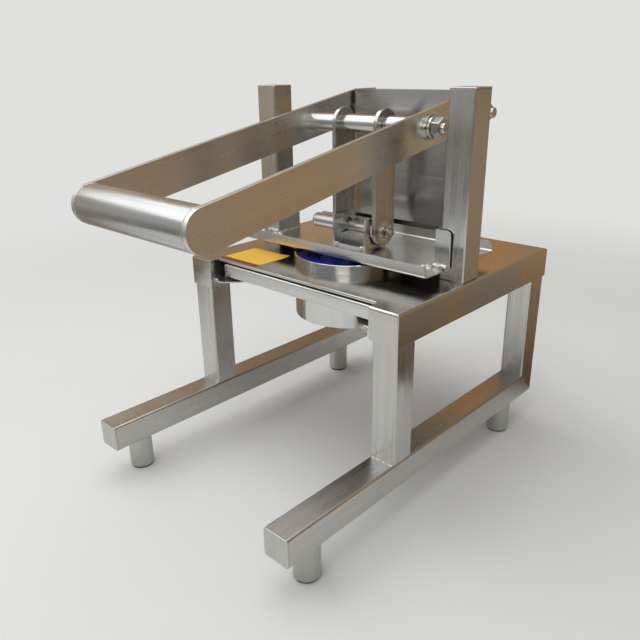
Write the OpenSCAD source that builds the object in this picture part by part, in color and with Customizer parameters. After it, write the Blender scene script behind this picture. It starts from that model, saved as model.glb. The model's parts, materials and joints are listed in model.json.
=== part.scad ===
// Bench-top onion slicer, worked by a two-armed lever.
// A stainless table on two tube frames carries a feed ring, two square guide posts and a hinge column.
// The lever hangs two links from its cross rod, and the links lift a press pan that rides on the posts.
// A pusher block under the pan goes down into the feed ring, onto the blades of a tray that pulls out
// to the front. Lengths are in millimetres, angles in degrees. Left and right are as seen from the grip.

/* [Side frames] */
// Width of the square tube of rails, legs and posts
tube_w = 30; // [20:0.5:40]
// Wall of the square tube
tube_wall = 2; // [1:0.1:4]
// Outer corner radius of the square tube
tube_corner_r = 2.5; // [1:0.1:5]
// Width over both side frames
frame_w = 306; // [285:1:340]
// Length of a base rail
rail_l = 448.4; // [440:0.1:480]
// Distance from a rail's front end to its front leg
leg_setback = 147.8; // [130:0.1:155]
// Thickness of the plates that close the tubes
cap_t = 2; // [1:0.5:4]

/* [Feet] */
// Diameter of a foot
foot_d = 27.2; // [20:0.1:29]
// Height of a foot
foot_h = 39; // [25:1:60]
// Distance from a rail's front end to the front foot's centre
foot_front_y = 37.8; // [20:0.1:60]
// Distance from a rail's front end to the rear foot's centre
foot_rear_y = 393.4; // [360:0.1:400]
// Small chamfer at a foot's lower edge
foot_edge = 1; // [0.5:0.5:2]

/* [Table] */
// Height of the table's top above the rails' underside
table_h = 192.7; // [185:0.1:220]
// Sheet thickness of table, tray and tray rails
sheet_t = 1.5; // [1:0.1:2]
// Height of the table's turned-down skirt
skirt_h = 34.2; // [28:0.1:40]
// Outer radius of the table's bends
table_bend_r = 3; // [2:0.5:5]
// Width of the cut-out in the table's front
cutout_w = 239; // [230:1:244]
// Depth of the cut-out, from the skirt's front face
cutout_d = 13.8; // [10:0.1:16]
// Height of the lip that is folded down along the cut-out's edge
front_lip_h = 2.9; // [2:0.1:3.2]
// Distance from the table's side to the sticker
sticker_side = 33.5; // [32:0.5:36]
// How far the sticker reaches behind the front of the feed ring
sticker_reach = 25.5; // [20:0.5:26]
// Thickness of the sticker
sticker_t = 0.3; // [0.2:0.1:0.4]
// Distance from the machine's middle to the sticker's inner edge
sticker_x = 60; // [55:1:62]
// Distance from the cut-out's edge to the sticker
sticker_gap = 4; // [2:1:12]

/* [Feed ring] */
// Distance from a rail's front end to the middle of ring, blades, pusher and chute
ring_y = 260; // [258:0.5:262]
// How far the blade frame reaches out past the feed ring
ring_inset = 12.6; // [12:0.1:14]
// Wall of the feed ring
ring_wall = 2; // [1.5:0.1:3]
// Height of the ring's rim above the table
ring_rise = 10; // [6:0.1:10.5]

/* [Guide posts] */
// Height of the posts above the table
post_h = 190.3; // [170:0.1:220]
// Distance from a rail's front end to the posts' middle
post_y = 276.1; // [274:0.1:278]
// Distance from the table's edge to a post
post_inset = 3.3; // [2:0.1:4]

/* [Hinge column] */
// Distance from the column to the guide posts, side to side
column_inset = 42.2; // [40:0.1:46]
// Distance from a rail's front end to the column's front sheet
column_y = 357; // [356:0.5:359]
// Depth of the column's sides at the table
column_foot_d = 62; // [50:1:80]
// Depth of the column's sides at the top
column_top_d = 42; // [40:1:46]
// Sheet thickness of the column
column_t = 3; // [2:0.5:3]
// Height of the column above the table
column_h = 184.3; // [180:0.1:190]
// Height of the column's front sheet above the table
column_gap_h = 29.3; // [27:0.1:60]
// Height of the plate that closes the column behind
column_back_h = 70; // [50:1:100]
// Outer radius of the column's bends
column_bend_r = 5; // [4:0.5:8]

/* [Lever] */
// Slope of the lever when it is down
lever_slope = 10.44; // [9.8:0.02:11]
// Angle that the lever opens from there
lever_travel = 55; // [40:1:58]
// Width of an arm's flat bar, and diameter of the grip
arm_w = 38; // [34:0.5:40]
// Thickness of an arm
arm_t = 5; // [4:0.5:6]
// Distance from an arm to the hinge column beside it
arm_stand = 2.5; // [1.5:0.1:4]
// Length of an arm between the middles of its round ends
arm_l = 386; // [385:0.5:396]
// Distance from a rail's front end to the grip's middle, which is in front of it
grip_y = 8.5; // [5:0.1:12]
// Height of the grip's middle above the table
grip_rise = 95; // [92:0.1:97]
// Wall of the grip's pipe
grip_wall = 2; // [1:0.1:4]

/* [Cross rod and fulcrum] */
// Diameter of cross rod and fulcrum rod
rod_d = 12; // [10:0.5:12]
// Distance from a rail's front end to the cross rod
rod_y = 282.5; // [281:0.1:284]
// Height of the cross rod above the table
rod_rise = 150.3; // [148:0.1:151]
// Distance from a rail's front end to the fulcrum rod
fulcrum_y = 378; // [376:0.1:380]
// Height of the fulcrum rod above the table
fulcrum_rise = 160.3; // [158:0.1:163]
// Diameter of the spacers on the cross rod
spacer_d = 20.4; // [18:0.1:22]
// Diameter of the washers on both rods
washer_d = 27; // [23:0.5:28]
// Thickness of the washers on both rods
washer_t = 3.4; // [2.5:0.1:3.5]
// Diameter of the spring washers
spring_washer_d = 23; // [20:0.5:24]
// Thickness of the spring washers
spring_washer_t = 4; // [3:0.1:4]
// Gap in a spring washer
spring_split = 1.5; // [1:0.1:2]
// Nut width across its flats
nut_w = 19; // [17:0.5:19]
// Height of a nut
nut_t = 10; // [6:0.5:10]
// Length of rod that stands out of a nut
rod_tip = 3; // [1:0.5:4]
// Length of the fulcrum rod that stands out of its nuts
fulcrum_tip = 7; // [3:0.5:8]

/* [Links] */
// Width of a link
link_w = 35; // [30:0.5:36]
// Thickness of a link
link_t = 5; // [4:0.5:5]
// Clear width between the links
link_gap = 54; // [54:0.5:56]
// Height of the link pin above the table
pin_rise = 32.8; // [32.5:0.1:33.5]
// Diameter of the link pin
pin_d = 12; // [10:0.5:12]
// Diameter of the pin's threaded end
pin_end_d = 8; // [6:0.5:8]
// Diameter of the washers between the links and the ears
ear_washer_d = 24; // [20:0.5:24]
// Diameter of the washer at the pin's threaded end
pin_washer_d = 15; // [13:0.5:16]
// Thickness of that washer
pin_washer_t = 2; // [1:0.1:2.5]
// Width of the pin's nut across its flats
pin_nut_w = 13; // [11:0.5:13]
// Height of the pin's nut
pin_nut_t = 6.5; // [4:0.5:8]
// Diameter of the pin's knob
knob_d = 17.2; // [15:0.1:18]
// Length of the pin's knob
knob_l = 43; // [30:1:44]
// Rounding of the knob's outer end
knob_edge_r = 3; // [2:0.5:4]

/* [Press pan] */
// Gap between the table and the pan's underside when the lever is down
pan_gap = 11.9; // [11.5:0.1:13]
// Sheet thickness of the pan
pan_t = 2; // [1.5:0.1:2]
// How far the pan's floor reaches past the posts' inner faces
pan_reach = 11.8; // [10:0.1:13]
// Distance from a rail's front end to the pan's front edge
pan_y = 217.6; // [214:0.1:220]
// Depth of the pan
pan_d = 135.4; // [134:0.1:136]
// Height of the pan with its turned-up edges
pan_edge_h = 12.9; // [10:0.1:14]
// Radius of the corners of the turned-up edges
pan_corner = 8; // [6:0.5:9]
// Outer radius of the pan's bends
pan_bend_r = 3; // [2.5:0.5:4]
// How far the floor steps in beside the shoes
pan_step = 4; // [2:0.5:5]
// How far that step runs on past the shoes
pan_step_run = 10; // [6:1:12]
// Wall of a guide shoe
shoe_t = 2; // [1.5:0.5:3]
// Height of a guide shoe above the floor
shoe_h = 39.4; // [30:0.1:45]
// Width of a shoe's front and rear tabs
shoe_w = 18.2; // [15:0.1:20]
// Radius of the tabs' upper corners
shoe_r = 6; // [3:0.5:8]
// Width over the bracket's ears
ear_w = 50; // [48:0.5:50]
// Sheet thickness of the bracket
ear_t = 3; // [2:0.5:3]
// Distance from a rail's front end to the ears' front edges
ear_y = 257; // [254:0.5:258]
// Depth of the ears
ear_d = 37; // [36:0.5:42]
// Height of the ears above the pan's floor
ear_h = 35.4; // [34:0.1:38]
// Height of the bracket's rear sheet above the pan's floor
ear_back_h = 28.4; // [20:0.1:32]

/* [Pusher] */
// Play between the pusher block and the feed ring
pusher_play = 1.4; // [1:0.1:3]
// Depth from the ring's rim down to the pusher's upper face
pusher_sink = 4; // [2:0.1:5]
// Diameter of the pusher's boss under the pan
boss_d = 76; // [60:1:90]
// Rounding of the pusher's edges
pusher_edge_r = 2; // [1:0.5:3]
// Width between the screws, side to side
screw_w = 30; // [26:1:34]
// Depth between the screws, front to rear
screw_run = 24; // [20:1:30]
// Diameter of the screws
screw_d = 5; // [4:0.5:6]
// Diameter of the screws' countersunk heads
screw_head_d = 10; // [8:0.5:11]

/* [Blade tray] */
// Distance from the tray to the legs beside it
tray_side_gap = 13; // [12:0.5:18]
// Depth of the tray
tray_d = 200; // [190:1:205]
// Gap between the table's underside and the tray
tray_gap = 3.5; // [3:0.1:4]
// Height of the tray's front lip
tray_lip_h = 15.2; // [12:0.1:17]
// Height of the tray's sides
tray_side_h = 18.9; // [18:0.1:22]
// Share of the way from leg to middle that a tray rail's foot takes up
rail_foot_share = 0.309; // [0.28:0.001:0.32]
// Diagonal cut at the front of a tray rail's foot
rail_foot_cut = 20; // [10:1:24]
// How far a tray rail runs on behind the rear leg's front face
rail_overlap = 20; // [10:1:28]
// Outer width of the blade frame
blade_frame_w = 156; // [150:1:160]
// Width of the blade frame's bars
blade_bar_w = 12.7; // [12:0.1:12.7]
// Height of the blade frame
blade_frame_h = 13.5; // [12:0.1:14]
// Number of blades
blade_count = 11; // [7:2:11]
// Distance from blade to blade
blade_pitch = 10; // [8:0.5:10]
// Thickness of a blade
blade_t = 1; // [0.6:0.1:1.2]
// Height of a blade
blade_h = 11.4; // [9:0.1:11.5]
// Height of a blade's ground edge
blade_edge_h = 2.5; // [1.5:0.1:4]
// How far a blade reaches into each bar
blade_seat = 8; // [5:0.5:10]
// Wall of the chute
chute_wall = 1.5; // [1:0.1:2.5]
// How far below the table the chute's lower end is
chute_drop = 62.7; // [50:0.1:80]

/* [Fits] */
// Radial play of rods and pins in their holes
fit_play = 0.05; // [0.02:0.01:0.1]
// Play of turning parts sideways
side_play = 0.2; // [0.1:0.05:0.3]
// Play between a shoe and its post
shoe_play = 2; // [1:0.1:2.2]
// Play of parts that lie in seats, such as blades and tray
seat_play = 0.3; // [0.1:0.05:0.4]

/* [View] */
// Piece to draw

/* [Hidden] */
$fn = 96;
// One overrun for all cuts
over = 1;

frame_half = frame_w / 2;
leg_x = frame_half - tube_w / 2;
leg_rear_y = rail_l - tube_w;
leg_top_h = table_h - sheet_t;

table_half = frame_half + sheet_t;
table_front_y = leg_setback - sheet_t;
table_rear_y = rail_l + sheet_t;
table_l = table_rear_y - table_front_y;
skirt_z = table_h - skirt_h;
cutout_edge_y = table_front_y + cutout_d;

// Heights above the rails' underside
pin_h = table_h + pin_rise;
rod_h = table_h + rod_rise;
fulcrum_h = table_h + fulcrum_rise;
grip_h = table_h + grip_rise;
chute_h = table_h - chute_drop;

ring_d = blade_frame_w - 2 * ring_inset;
ring_r = ring_d / 2;
rim_h = table_h + ring_rise;

post_x = table_half - post_inset - tube_w / 2;
post_in_x = post_x - tube_w / 2;

column_half = post_in_x - column_inset;
column_w = 2 * column_half;

sticker_w = table_half - sticker_side - sticker_x;
sticker_d = ring_y - ring_r + sticker_reach - cutout_edge_y - sticker_gap;

arm_in_x = column_half + arm_stand;
arm_out_x = arm_in_x + arm_t;
link_in_x = link_gap / 2;
link_out_x = link_in_x + link_t;

// The whole part stands with its feet on zero and its length centred
shift_y = -(table_rear_y - grip_y - arm_w / 2) / 2;

pan_z = table_h + pan_gap;
pan_top_z = pan_z + pan_t;
pan_w = 2 * (post_in_x + pan_reach);
shoe_in_x = post_in_x - shoe_play - shoe_t;
shoe_half_d = tube_w / 2 + shoe_play + shoe_t;

tray_top_z = table_h - sheet_t - tray_gap;
tray_under_z = tray_top_z - sheet_t;
tray_y = cutout_edge_y;
tray_rail_z = tray_top_z - tray_side_h - seat_play - sheet_t;
tray_rail_y = leg_setback + sheet_t;
tray_rail_end_y = leg_rear_y + rail_overlap;
leg_in_x = frame_half - tube_w;
tray_w = 2 * (leg_in_x - tray_side_gap);
rail_foot_w = leg_in_x * rail_foot_share;

blade_frame_z = tray_under_z - blade_frame_h;
blade_open_w = blade_frame_w - 2 * blade_bar_w;
chute_d = blade_open_w - 2 * seat_play;
blade_z = tray_under_z - blade_h - seat_play / 3;
blade_l = blade_open_w + 2 * blade_seat;

pusher_top_z = rim_h - pusher_sink;
pusher_z = tray_top_z + seat_play;
pusher_d = ring_d - 2 * (ring_wall + pusher_play);

// How the link pin moves against the bracket. The pan rises evenly with the lever's angle, and the
// links tilt evenly with it, so between the ends the pin runs a little ahead and above. The ears'
// holes are long enough for that.
link_l = rod_h - pin_h;
function turned(v, a) = [v[0] * cos(a) + v[1] * sin(a), v[1] * cos(a) - v[0] * sin(a)];
function rod_at(a) = [fulcrum_y, fulcrum_h] + turned([rod_y - fulcrum_y, rod_h - fulcrum_h], a);
full_tilt = asin((rod_at(lever_travel)[0] - rod_y) / link_l);
full_lift = rod_at(lever_travel)[1] - link_l * cos(full_tilt) - pin_h;
function drift(s) = rod_at(s * lever_travel) + turned([0, -link_l], s * full_tilt)
    - [rod_y, pin_h + s * full_lift];
drift_steps = 40;
drifts = [for (i = [0:drift_steps]) drift(i / drift_steps)];
slot_run = -min([for (d = drifts) d[0]]);
slot_rise = max([for (d = drifts) d[1]]);
slot_play = 2 * seat_play;

// Colours as the photograph shows them
steel = [0.72, 0.72, 0.7];
bright_steel = [0.82, 0.82, 0.81];
pusher_blue = [0.05, 0.12, 0.55];
sticker_yellow = [0.93, 0.76, 0.15];

// ---- shared shapes

// Stands the part on its feet
module placed() {
    translate([0, shift_y, foot_h]) children();
}

module both_sides() {
    children();
    mirror([1, 0, 0]) children();
}

// Rectangle with rounded corners, centred
module rounded_rect(w, d, r) {
    square([w - 2 * r, d], center = true);
    square([w, d - 2 * r], center = true);
    for (sx = [-1, 1], sy = [-1, 1])
        translate([sx * (w / 2 - r), sy * (d / 2 - r)]) circle(r);
}

// Rectangle that stands on zero with its two upper corners rounded, centred sideways
module arched_rect(w, h, r) {
    translate([-w / 2, 0]) square([w, h - r]);
    translate([r - w / 2, 0]) square([w - 2 * r, h]);
    for (sx = [-1, 1])
        translate([sx * (w / 2 - r), h - r]) circle(r);
}

// Square tube's section
module tube_section() {
    difference() {
        rounded_rect(tube_w, tube_w, tube_corner_r);
        square(tube_w - 2 * tube_wall, center = true);
    }
}

// Outline in depth and height, given a thickness sideways from x
module side_plate(x, t) {
    translate([x, 0, 0]) rotate([90, 0, 90]) linear_extrude(t) children();
}

// Outline in width and height, given a depth from y
module front_plate(y, d) {
    translate([0, y + d, 0]) rotate([90, 0, 0]) linear_extrude(d) children();
}

// Round bar across the machine, from x0 to x1
module cross_bar(d, x0, x1, y, z) {
    translate([x0, y, z]) rotate([0, 90, 0]) cylinder(d = d, h = x1 - x0);
}

// Ring across the machine
module cross_ring(d, hole, x0, x1, y, z) {
    difference() {
        cross_bar(d, x0, x1, y, z);
        cross_bar(hole, x0 - over, x1 + over, y, z);
    }
}

// Hexagonal nut across the machine, with its corners turned down at both ends
module cross_nut(w, t, hole, x, y, z) {
    corner_r = w / sqrt(3);
    turned_r = w / 2;
    drop = (corner_r - turned_r) * tan(30);
    translate([x, y, z]) rotate([0, 90, 0]) difference() {
        intersection() {
            cylinder(r = corner_r, h = t, $fn = 6);
            rotate_extrude() polygon([
                [0, 0], [turned_r, 0], [corner_r, drop], [corner_r, t - drop], [turned_r, t], [0, t]
            ]);
        }
        translate([0, 0, -over]) cylinder(d = hole, h = t + 2 * over);
    }
}

// ---- side frames

// Triangle that cuts a rail's rear end along the mitre
module mitre_above() {
    polygon([
        [rail_l + over, -over], [rail_l + over, tube_w + over], [rail_l - tube_w - over, tube_w + over]
    ]);
}

// Triangle that cuts a rear leg's lower end along the mitre
module mitre_below() {
    polygon([
        [rail_l + over, -over], [rail_l - tube_w - over, tube_w + over], [rail_l - tube_w - over, -over]
    ]);
}

module base_rail() {
    difference() {
        translate([leg_x, cap_t, tube_w / 2]) rotate([-90, 0, 0]) linear_extrude(rail_l - cap_t) tube_section();
        side_plate(leg_x - tube_w / 2 - over, tube_w + 2 * over) mitre_above();
    }
}

module base_rail_right() {
    color(steel) placed() base_rail();
}

module base_rail_left() {
    color(steel) placed() mirror([1, 0, 0]) base_rail();
}

module rail_end_caps() {
    color(steel) placed() both_sides()
        translate([leg_x, 0, tube_w / 2]) rotate([-90, 0, 0]) linear_extrude(cap_t)
            rounded_rect(tube_w, tube_w, tube_corner_r);
}

module front_leg() {
    translate([leg_x, leg_setback + tube_w / 2, tube_w]) linear_extrude(leg_top_h - tube_w) tube_section();
}

module front_leg_right() {
    color(steel) placed() front_leg();
}

module front_leg_left() {
    color(steel) placed() mirror([1, 0, 0]) front_leg();
}

module rear_leg() {
    difference() {
        translate([leg_x, rail_l - tube_w / 2, 0]) linear_extrude(leg_top_h) tube_section();
        side_plate(leg_x - tube_w / 2 - over, tube_w + 2 * over) mitre_below();
    }
}

module rear_leg_right() {
    color(steel) placed() rear_leg();
}

module rear_leg_left() {
    color(steel) placed() mirror([1, 0, 0]) rear_leg();
}

module foot(side, y) {
    r = foot_d / 2;
    translate([side * leg_x, y, -foot_h]) rotate_extrude() polygon([
        [0, 0], [r - foot_edge, 0], [r, foot_edge], [r, foot_h], [0, foot_h]
    ]);
}

module foot_front_left() {
    color(steel) placed() foot(-1, foot_front_y);
}

module foot_front_right() {
    color(steel) placed() foot(1, foot_front_y);
}

module foot_rear_left() {
    color(steel) placed() foot(-1, foot_rear_y);
}

module foot_rear_right() {
    color(steel) placed() foot(1, foot_rear_y);
}

// ---- table

// Folded block with rounded upper edges, open below once its inside is cut away
module table_block() {
    intersection() {
        translate([0, 0, skirt_z]) front_plate(table_front_y, table_l)
            arched_rect(2 * table_half, skirt_h, table_bend_r);
        side_plate(-table_half, 2 * table_half) translate([table_front_y + table_l / 2, skirt_z])
            arched_rect(table_l, skirt_h, table_bend_r);
        translate([0, table_front_y + table_l / 2, skirt_z]) linear_extrude(skirt_h)
            rounded_rect(2 * table_half, table_l, sheet_t);
    }
}

module table_top() {
    color(steel) placed() difference() {
        union() {
            difference() {
                table_block();
                translate([-frame_half, leg_setback, skirt_z - over])
                    cube([frame_w, rail_l - leg_setback, skirt_h - sheet_t + over]);
            }
            translate([-cutout_w / 2, cutout_edge_y, table_h - front_lip_h])
                cube([cutout_w, sheet_t, front_lip_h - sheet_t / 2]);
        }
        translate([-cutout_w / 2, table_front_y - over, skirt_z - over])
            cube([cutout_w, cutout_d + over, skirt_h + 2 * over]);
        translate([0, ring_y, skirt_z]) cylinder(r = ring_r, h = skirt_h + over);
    }
}

module blank_sticker() {
    color(sticker_yellow) placed()
        translate([-sticker_x - sticker_w, cutout_edge_y + sticker_gap, table_h])
            cube([sticker_w, sticker_d, sticker_t]);
}

module feed_ring() {
    rim_r = ring_wall / 2;
    bottom = tray_top_z + 2 * seat_play;
    color(bright_steel) placed() translate([0, ring_y, 0]) rotate_extrude() {
        translate([ring_r - ring_wall, bottom]) square([ring_wall, rim_h - rim_r - bottom]);
        translate([ring_r - rim_r, rim_h - rim_r]) circle(rim_r);
    }
}

module guide_post() {
    translate([post_x, post_y, table_h]) linear_extrude(post_h - cap_t) tube_section();
}

module guide_post_right() {
    color(steel) placed() guide_post();
}

module guide_post_left() {
    color(steel) placed() mirror([1, 0, 0]) guide_post();
}

module post_caps() {
    color(steel) placed() both_sides()
        translate([post_x, post_y, table_h + post_h - cap_t]) linear_extrude(cap_t)
            rounded_rect(tube_w, tube_w, tube_corner_r);
}

// ---- rails of the blade tray

module tray_rail() {
    foot_x = leg_in_x - rail_foot_w;
    // Upright sheet against the legs
    translate([leg_in_x - sheet_t, tray_rail_y, tray_rail_z])
        cube([sheet_t, tray_rail_end_y - tray_rail_y, tray_top_z - tray_rail_z]);
    // Foot that the tray slides on
    translate([0, 0, tray_rail_z]) linear_extrude(sheet_t) polygon([
        [leg_in_x, tray_rail_y], [leg_in_x, tray_rail_end_y], [foot_x, tray_rail_end_y],
        [foot_x, tray_rail_y + rail_foot_cut], [foot_x + rail_foot_cut, tray_rail_y]
    ]);
}

module tray_rail_right() {
    color(steel) placed() tray_rail();
}

module tray_rail_left() {
    color(steel) placed() mirror([1, 0, 0]) tray_rail();
}

// ---- hinge column

module hinge_column() {
    inner = column_half - column_t;
    // How deep the sides still are at the back plate's upper edge
    back_d = column_foot_d - (column_foot_d - column_top_d) * column_back_h / column_h;
    color(steel) placed() {
        translate([-inner - column_t / 2, column_y + back_d - column_t, table_h])
            cube([2 * inner + column_t, column_t, column_back_h]);
        difference() {
            intersection() {
                translate([0, 0, table_h]) linear_extrude(column_h) difference() {
                    translate([0, column_y + column_foot_d]) mirror([0, 1])
                        arched_rect(column_w, column_foot_d, column_bend_r);
                    translate([0, column_y + column_foot_d + over]) mirror([0, 1])
                        arched_rect(2 * inner, column_foot_d - column_t + over, column_bend_r - column_t);
                }
                side_plate(-column_half - over, column_w + 2 * over) polygon([
                    [column_y - over, table_h - over], [column_y + column_foot_d, table_h - over],
                    [column_y + column_foot_d, table_h], [column_y + column_top_d, table_h + column_h],
                    [column_y + column_top_d, table_h + column_h + over],
                    [column_y - over, table_h + column_h + over]
                ]);
            }
            translate([column_bend_r - column_half, column_y - over, table_h - over])
                cube([column_w - 2 * column_bend_r, column_t + 2 * over, column_gap_h + over]);
            cross_bar(rod_d + 2 * fit_play, -column_half - over, column_half + over, fulcrum_y, fulcrum_h);
        }
    }
}

fulcrum_washer_x = arm_out_x + side_play;
fulcrum_nut_x = fulcrum_washer_x + washer_t;
fulcrum_end_x = fulcrum_nut_x + nut_t + fulcrum_tip;

module fulcrum_rod() {
    color(bright_steel) placed() cross_bar(rod_d, -fulcrum_end_x, fulcrum_end_x, fulcrum_y, fulcrum_h);
}

module fulcrum_washers() {
    hole = rod_d + 2 * fit_play;
    color(bright_steel) placed() both_sides() {
        cross_ring(washer_d, hole, column_half, arm_in_x - side_play, fulcrum_y, fulcrum_h);
        cross_ring(washer_d, hole, fulcrum_washer_x, fulcrum_nut_x, fulcrum_y, fulcrum_h);
    }
}

module fulcrum_nuts() {
    color(bright_steel) placed() both_sides()
        cross_nut(nut_w, nut_t, rod_d + 2 * fit_play, fulcrum_nut_x, fulcrum_y, fulcrum_h);
}

// ---- blade tray

module tray_plate() {
    tray_half = tray_w / 2;
    low = tray_top_z - tray_side_h;
    lip_low = tray_top_z - tray_lip_h;
    bend_r = 2 * sheet_t;
    color(steel) placed() difference() {
        intersection() {
            translate([0, 0, low]) front_plate(tray_y, tray_d) arched_rect(tray_w, tray_side_h, bend_r);
            side_plate(-tray_half, tray_w) translate([tray_y + tray_d / 2, low])
                arched_rect(tray_d, tray_side_h, bend_r);
        }
        translate([sheet_t - tray_half, tray_y + sheet_t, low - over])
            cube([tray_w - 2 * sheet_t, tray_d - 2 * sheet_t, tray_side_h - sheet_t + over]);
        // The front and rear lips end higher than the sides
        translate([sheet_t - tray_half, tray_y - over, low - over])
            cube([tray_w - 2 * sheet_t, tray_d + 2 * over, lip_low - low + over]);
        translate([0, ring_y, low]) cylinder(r = ring_r - ring_wall, h = tray_side_h + over);
    }
}

module blade_places() {
    for (i = [0:blade_count - 1])
        translate([(i - (blade_count - 1) / 2) * blade_pitch, 0, 0]) children();
}

module blade_frame() {
    slot_w = blade_t + seat_play / 3;
    slot_l = blade_l + 2 * seat_play;
    color(steel) placed() difference() {
        translate([-blade_frame_w / 2, ring_y - blade_frame_w / 2, blade_frame_z])
            cube([blade_frame_w, blade_frame_w, blade_frame_h]);
        translate([-blade_open_w / 2, ring_y - blade_open_w / 2, blade_frame_z - over])
            cube([blade_open_w, blade_open_w, blade_frame_h + 2 * over]);
        blade_places() translate([-slot_w / 2, ring_y - slot_l / 2, blade_z])
            cube([slot_w, slot_l, tray_under_z - blade_z + over]);
    }
}

module slicing_blades() {
    back = blade_h - blade_edge_h;
    color(bright_steel) placed() blade_places()
        translate([0, 0, blade_z]) front_plate(ring_y - blade_l / 2, blade_l) polygon([
            [-blade_t / 2, 0], [blade_t / 2, 0], [blade_t / 2, back], [0, blade_h], [-blade_t / 2, back]
        ]);
}

module chute_tube() {
    color(steel) placed() translate([0, ring_y, chute_h]) difference() {
        cylinder(d = chute_d, h = blade_z - seat_play - chute_h);
        translate([0, 0, -over]) cylinder(d = chute_d - 2 * chute_wall, h = blade_z - chute_h + 2 * over);
    }
}

// ---- press carriage

module press_pan() {
    pan_half = pan_w / 2;
    flat_h = pan_edge_h - pan_t;
    step_half = shoe_half_d + pan_step_run;
    color(steel) placed() difference() {
        side_plate(-pan_half, pan_w) translate([pan_y + pan_d / 2, pan_z + pan_edge_h]) mirror([0, 1])
            difference() {
                arched_rect(pan_d, pan_edge_h, pan_bend_r);
                translate([0, -over]) arched_rect(pan_d - 2 * pan_t, flat_h + over, pan_bend_r - pan_t);
            }
        // The turned-up edges have round corners
        both_sides() front_plate(pan_y - over, pan_d + 2 * over)
            translate([pan_half - pan_corner, pan_z + pan_edge_h - pan_corner]) difference() {
                square(pan_corner + over);
                circle(pan_corner);
            }
        // The floor is notched round the shoes and steps in beside them
        both_sides() {
            translate([shoe_in_x + shoe_t, post_y - shoe_half_d + shoe_t, pan_z - over])
                cube([pan_w, 2 * (shoe_half_d - shoe_t), pan_t + 2 * over]);
            translate([pan_half - pan_step, post_y - step_half, pan_z - over])
                cube([pan_w, 2 * step_half, pan_t + 2 * over]);
        }
        // Holes for the pusher's screws
        screw_places() translate([0, 0, pan_z - over]) cylinder(d = screw_d + 2 * fit_play, h = pan_t + 2 * over);
    }
}

// U-shaped shoe round a post, open to the outside
module guide_shoe() {
    translate([0, 0, pan_top_z]) intersection() {
        linear_extrude(shoe_h) difference() {
            translate([shoe_in_x, post_y - shoe_half_d]) square([shoe_w, 2 * shoe_half_d]);
            translate([shoe_in_x + shoe_t, post_y - shoe_half_d + shoe_t])
                square([shoe_w, 2 * (shoe_half_d - shoe_t)]);
        }
        // The tabs' outer upper corners are rounded
        front_plate(post_y - shoe_half_d - over, 2 * (shoe_half_d + over)) {
            translate([shoe_in_x, 0]) square([shoe_w - shoe_r, shoe_h]);
            translate([shoe_in_x, 0]) square([shoe_w, shoe_h - shoe_r]);
            translate([shoe_in_x + shoe_w - shoe_r, shoe_h - shoe_r]) circle(shoe_r);
        }
    }
}

module guide_shoe_right() {
    color(steel) placed() guide_shoe();
}

module guide_shoe_left() {
    color(steel) placed() mirror([1, 0, 0]) guide_shoe();
}

module clevis_bracket() {
    ear_half = ear_w / 2;
    slot_r = pin_d / 2 + slot_play;
    color(steel) placed() difference() {
        union() {
            both_sides() translate([ear_half - ear_t, ear_y, pan_top_z]) cube([ear_t, ear_d, ear_h]);
            translate([-ear_half, ear_y + ear_d - ear_t, pan_top_z]) cube([ear_w, ear_t, ear_back_h]);
            translate([-ear_half, ear_y, pan_top_z]) cube([ear_w, ear_d, ear_t]);
        }
        side_plate(-ear_half - over, ear_w + 2 * over)
            translate([rod_y - slot_run / 2, pin_h + slot_rise / 2])
                rounded_rect(slot_run + 2 * slot_r, slot_rise + 2 * slot_r, slot_r);
        screw_places() translate([0, 0, pan_top_z - over])
            cylinder(d = screw_d + 2 * fit_play, h = ear_t + 2 * over);
    }
}

module screw_places() {
    for (sx = [-1, 1], sy = [-1, 1])
        translate([sx * screw_w / 2, ear_y + ear_d / 2 + sy * screw_run / 2, 0]) children();
}

// Height of a screw's cone, at ninety degrees
screw_cone_h = (screw_head_d - screw_d) / 2;

module pusher_block() {
    top = pan_z;
    r = pusher_d / 2;
    e = pusher_edge_r;
    color(pusher_blue) placed() difference() {
        translate([0, ring_y, 0]) union() {
            rotate_extrude() {
                translate([0, pusher_z]) square([r - e, pusher_top_z - pusher_z]);
                translate([0, pusher_z + e]) square([r, pusher_top_z - pusher_z - 2 * e]);
                translate([r - e, pusher_z + e]) circle(e);
                translate([r - e, pusher_top_z - e]) circle(e);
            }
            translate([0, 0, pusher_z]) cylinder(d = boss_d, h = top - pusher_z);
        }
        screw_places() translate([0, 0, pusher_z - over]) {
            cylinder(d = screw_d + 2 * fit_play, h = top - pusher_z + 2 * over);
            cylinder(d = screw_head_d + 2 * fit_play, h = over + seat_play);
            translate([0, 0, over + seat_play])
                cylinder(d1 = screw_head_d + 2 * fit_play, d2 = screw_d + 2 * fit_play, h = screw_cone_h);
        }
    }
}

module pusher_screws() {
    color(bright_steel) placed() screw_places() translate([0, 0, pusher_z + seat_play]) {
        cylinder(d1 = screw_head_d, d2 = screw_d, h = screw_cone_h);
        cylinder(d = screw_d, h = pan_top_z + ear_t - pusher_z - seat_play);
    }
}

// ---- lever

module lever_arm() {
    side_plate(arm_in_x, arm_t) difference() {
        translate([-grip_y, grip_h]) rotate(lever_slope) {
            translate([0, -arm_w / 2]) square([arm_l, arm_w]);
            circle(d = arm_w);
            translate([arm_l, 0]) circle(d = arm_w);
        }
        translate([rod_y, rod_h]) circle(d = rod_d + 2 * fit_play);
        translate([fulcrum_y, fulcrum_h]) circle(d = rod_d + 2 * fit_play);
    }
}

module lever_arm_right() {
    color(steel) placed() lever_arm();
}

module lever_arm_left() {
    color(steel) placed() mirror([1, 0, 0]) lever_arm();
}

module handle_pipe() {
    color(bright_steel) placed()
        cross_ring(arm_w, arm_w - 2 * grip_wall, -arm_in_x, arm_in_x, -grip_y, grip_h);
}

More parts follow.
